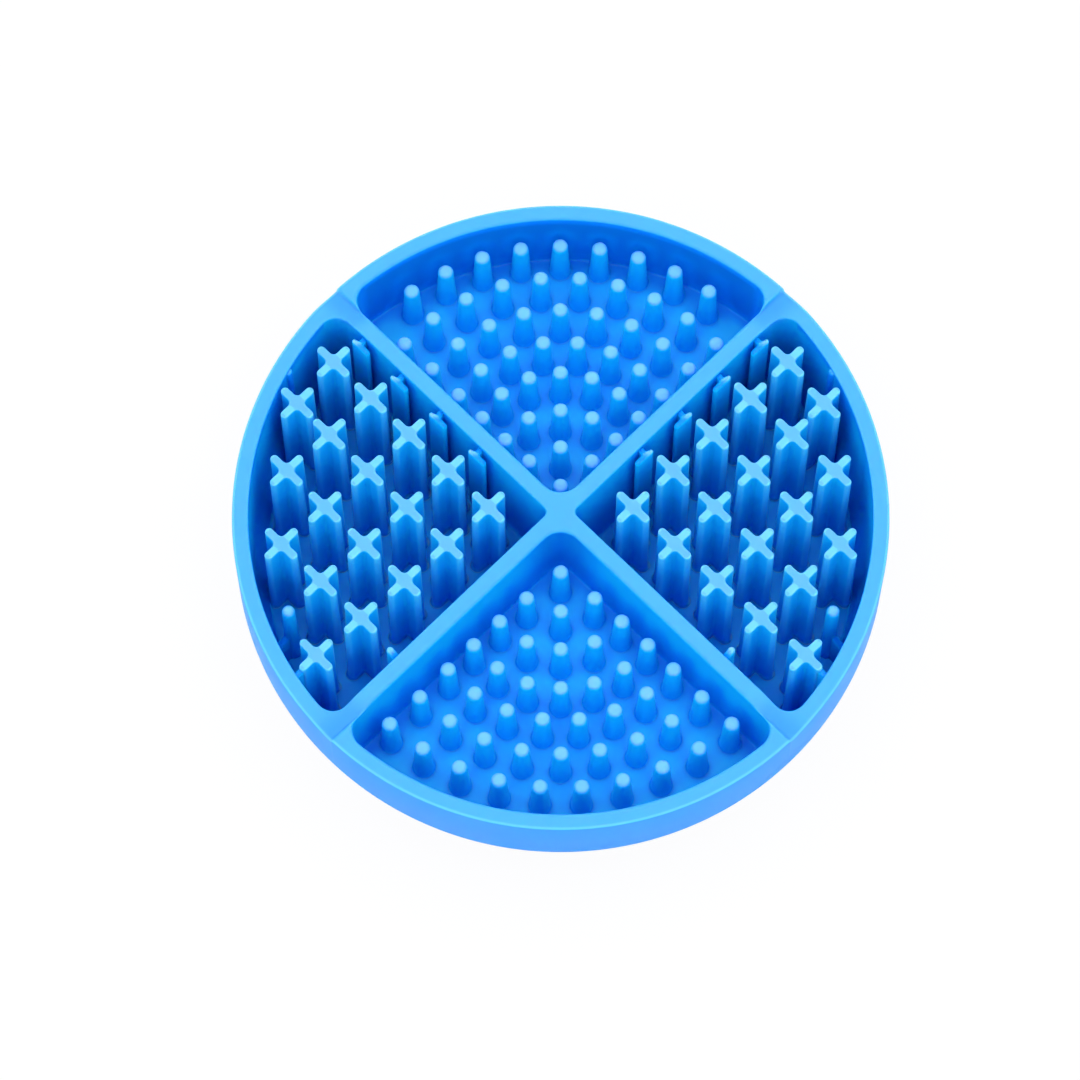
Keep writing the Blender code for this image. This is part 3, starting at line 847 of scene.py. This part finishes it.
def tint(material, share, colour):
    """Mixes a colour into a material's base colour, by a share that varies over the piece."""
    base = material.node_tree.nodes["Principled BSDF"].inputs["Base Color"]
    mix = material.node_tree.nodes.new("ShaderNodeMix")
    mix.data_type = "RGBA"
    mix.inputs["B"].default_value = colour
    material.node_tree.links.new(share, mix.inputs["Factor"])
    material.node_tree.links.new(base.links[0].from_socket, mix.inputs["A"])
    material.node_tree.links.new(mix.outputs["Result"], base)


def mapped(tree, value, limits, low=0.0, high=1.0):
    """A value that goes smoothly from low to high as another passes from limit to limit."""
    node = tree.nodes.new("ShaderNodeMapRange")
    node.interpolation_type = "SMOOTHSTEP"
    node.inputs["From Min"].default_value = limits[0]
    node.inputs["From Max"].default_value = limits[1]
    node.inputs["To Min"].default_value = low
    node.inputs["To Max"].default_value = high
    tree.links.new(value, node.inputs["Value"])
    return node.outputs["Result"]


def z_of(tree, kind):
    """The upward part of a texture coordinate."""
    place = tree.nodes.new("ShaderNodeTexCoord")
    parts = tree.nodes.new("ShaderNodeSeparateXYZ")
    tree.links.new(place.outputs[kind], parts.inputs["Vector"])
    return parts.outputs["Z"]


def facing_up(material):
    return mapped(material.node_tree, z_of(material.node_tree, "Normal"), FACING)


def facing_sideways(material):
    return mapped(material.node_tree, z_of(material.node_tree, "Normal"), FACING, 1.0, 0.0)


def above(material, whole, limits):
    """A share by height: none of it at the first limit, all of it past the second."""
    share = material.node_tree.nodes.new("ShaderNodeMath")
    share.operation = "MULTIPLY"
    material.node_tree.links.new(whole, share.inputs[0])
    height = mapped(material.node_tree, z_of(material.node_tree, "Object"), limits)
    material.node_tree.links.new(height, share.inputs[1])
    return share.outputs["Value"]


# Painted highlight along convex edges, by how pointy the mesh is there
def convex_edge_highlights(material):
    shape = material.node_tree.nodes.new("ShaderNodeNewGeometry")
    return mapped(material.node_tree, shape.outputs["Pointiness"], EDGE_POINTINESS, 0.0, EDGE_HIGHLIGHT_SHARE)


def marked(material, name, limits=(0.0, 1.0), most=1.0):
    """The share that a mark on the vertices sets."""
    mark = material.node_tree.nodes.new("ShaderNodeAttribute")
    mark.attribute_name = name
    return mapped(material.node_tree, mark.outputs["Fac"], limits, 0.0, most)


def corner_shade(material):
    """A share that grows as more of a place's surroundings stand close to it, for painted shade in corners.
    """
    near = material.node_tree.nodes.new("ShaderNodeAmbientOcclusion")
    near.samples = CORNER_SAMPLES
    near.inputs["Distance"].default_value = CORNER_REACH
    return mapped(material.node_tree, near.outputs["AO"], CORNER_SHARES)


def body_silicone():
    """The bowl itself: deep blue walls with painted glow high on the dividers and painted shade down the nub
    wells' outer walls, floors painted lighter with painted shade in their corners, painted highlights on top
    and along the rim's outer edge, and painted shade on the dished rim ends.
    """
    material = silicone("silicone_body", BODY_SCATTER)
    tint(material, marked(material, GLOW), GLOW_BLUE)
    tint(material, marked(material, SHADE), SHADE_BLUE)
    tint(material, facing_up(material), DIMLY_LIT_FLOOR_BLUE)
    tint(material, above(material, facing_up(material), FLOOR_HEIGHTS), LIT_FLOOR_BLUE)
    tint(material, above(material, corner_shade(material), FLOOR_HEIGHTS), CORNER_SHADE_BLUE)
    tint(material, above(material, facing_up(material), TOP_HEIGHTS), RIM_HIGHLIGHT_BLUE)
    tint(material, marked(material, DISH_SHADE), DISH_SHADE_BLUE)
    tint(material, marked(material, RIM_EDGE_HIGHLIGHT, RIM_EDGE_LIMITS, EDGE_HIGHLIGHT_SHARE), EDGE_HIGHLIGHT_BLUE)
    return material


def slim_silicone(name, scatter, head_heights, highlight_heights, highlight_blue):
    """Slim upright pieces: painted glow towards their heads, as of light that goes through them, and painted
    highlights on their tops.
    """
    material = silicone(name, scatter)
    tint(material, above(material, facing_sideways(material), head_heights), HEAD_GLOW_BLUE)
    tint(material, above(material, facing_up(material), highlight_heights), highlight_blue)
    return material


def post_silicone():
    """X posts: painted highlights on the tops and convex edges."""
    material = slim_silicone("silicone_posts", SLIM_SCATTER, HEAD_HEIGHTS, TOP_HEIGHTS, POST_HIGHLIGHT_BLUE)
    tint(material, convex_edge_highlights(material), EDGE_HIGHLIGHT_BLUE)
    return material


def nub_silicone():
    """Nubs and round posts: painted glow towards the heads, painted highlights on the tips, and painted
    shade at the feet, as dark as the painted shade in the floor's corners around them.
    """
    material = slim_silicone("silicone_nubs", BODY_SCATTER, NUB_HEAD_HEIGHTS, NUB_TIP_HEIGHTS, TIP_HIGHLIGHT_BLUE)
    tint(material, above(material, facing_up(material), FOOT_HEIGHTS), FOOT_SHADE_BLUE)
    return material


def fin_silicone():
    """Fins and webs: painted highlights at the fins' tips alone."""
    return slim_silicone("silicone_fins", SLIM_SCATTER, HEAD_HEIGHTS, FIN_TIP_HEIGHTS, TIP_HIGHLIGHT_BLUE)


def world():
    """White surroundings, brighter overhead, that look plain white to the camera and in reflections."""
    scene_world = bpy.data.worlds.new("studio")
    bpy.context.scene.world = scene_world
    scene_world.use_nodes = True
    tree = scene_world.node_tree
    nodes = tree.nodes
    links = tree.links
    light = nodes["Background"]
    light.inputs["Color"].default_value = WHITE
    brightness = mapped(tree, z_of(tree, "Generated"), SKY_HEIGHTS, SKY_LOW, SKY_HIGH)
    links.new(brightness, light.inputs["Strength"])
    seen = nodes.new("ShaderNodeBackground")
    seen.inputs["Color"].default_value = WHITE
    seen.inputs["Strength"].default_value = SKY_SEEN
    path = nodes.new("ShaderNodeLightPath")
    mix = nodes.new("ShaderNodeMixShader")
    plain = nodes.new("ShaderNodeMath")
    plain.operation = "MAXIMUM"
    links.new(path.outputs["Is Camera Ray"], plain.inputs[0])
    links.new(path.outputs["Is Glossy Ray"], plain.inputs[1])
    links.new(plain.outputs["Value"], mix.inputs["Fac"])
    links.new(light.outputs["Background"], mix.inputs[1])
    links.new(seen.outputs["Background"], mix.inputs[2])
    links.new(mix.outputs["Shader"], nodes["World Output"].inputs["Surface"])


def soft_light(name, size, distance, elevation, power):
    """Round softbox in front of the bowl that faces its middle."""
    light = bpy.data.lights.new(name, "AREA")
    light.shape = "DISK"
    light.size = size
    light.energy = power
    lamp = bpy.data.objects.new(name, light)
    lamp.location = (0, -distance * math.cos(elevation), distance * math.sin(elevation))
    lamp.rotation_euler = (QUARTER - elevation, 0, 0)
    bpy.context.scene.collection.objects.link(lamp)


def floor():
    """White floor: to the camera nearly white by itself, with the bowl's shadow on it."""
    bm = bmesh.new()
    bmesh.ops.create_grid(bm, size=FLOOR_SIZE / 2)
    mesh = bpy.data.meshes.new("floor")
    bm.to_mesh(mesh)
    bm.free()
    material = bpy.data.materials.new("floor")
    material.use_nodes = True
    nodes = material.node_tree.nodes
    links = material.node_tree.links
    nodes["Principled BSDF"].inputs["Base Color"].default_value = (FLOOR_WHITE, FLOOR_WHITE, FLOOR_WHITE, 1)
    nodes["Principled BSDF"].inputs["Roughness"].default_value = FLOOR_ROUGHNESS
    glow = nodes.new("ShaderNodeEmission")
    path = nodes.new("ShaderNodeLightPath")
    share = nodes.new("ShaderNodeMath")
    share.operation = "MULTIPLY"
    share.inputs[1].default_value = FLOOR_GLOW
    mix = nodes.new("ShaderNodeMixShader")
    links.new(path.outputs["Is Camera Ray"], share.inputs[0])
    links.new(share.outputs["Value"], mix.inputs["Fac"])
    links.new(nodes["Principled BSDF"].outputs["BSDF"], mix.inputs[1])
    links.new(glow.outputs["Emission"], mix.inputs[2])
    links.new(mix.outputs["Shader"], nodes["Material Output"].inputs["Surface"])
    mesh.materials.append(material)
    plane = bpy.data.objects.new("floor", mesh)
    plane.location.z = -FLOOR_DROP
    bpy.context.scene.collection.objects.link(plane)


def camera():
    """Looks down at the bowl from the front, moved in its own plane to frame it as the photograph does."""
    data = bpy.data.cameras.new("camera")
    pixel = BOWL_RADIUS / RIM_RADIUS_IN_PHOTO
    data.sensor_width = SENSOR_WIDTH
    data.lens = SENSOR_WIDTH * CAMERA_DISTANCE / pixel / PHOTO_SIZE
    data.clip_end = 2 * FLOOR_SIZE
    eye = bpy.data.objects.new("camera", data)
    back = Vector((0, -math.cos(CAMERA_ELEVATION), math.sin(CAMERA_ELEVATION)))
    up = Vector((0, math.sin(CAMERA_ELEVATION), math.cos(CAMERA_ELEVATION)))
    right = Vector((1, 0, 0))
    across = (RIM_CENTRE_IN_PHOTO[0] - PHOTO_SIZE / 2) * pixel
    down = (RIM_CENTRE_IN_PHOTO[1] - PHOTO_SIZE / 2) * pixel
    eye.location = Vector((0, 0, TOP)) + CAMERA_DISTANCE * back - across * right + down * up
    eye.rotation_euler = (QUARTER - CAMERA_ELEVATION, 0, 0)
    bpy.context.scene.collection.objects.link(eye)
    bpy.context.scene.camera = eye


BODY_SILICONE = body_silicone()
POST_SILICONE = post_silicone()
NUB_SILICONE = nub_silicone()
FIN_SILICONE = fin_silicone()

bpy.context.scene.view_settings.view_transform = "Standard"
camera()
world()
soft_light("front", FRONT_SIZE, FRONT_DISTANCE, FRONT_ELEVATION, FRONT_POWER)
floor()
bowl_body()
for well in NUB_WELLS:
    nubs(well)
for name in sorted(frame["nodes"]):
    if name.startswith("cross_post"):
        cross_post(name)
for well in CROSS_WELLS:
    wall_post(well)
    wall_web(well)
    post_web(well)
    wall_rib(well)
fins()
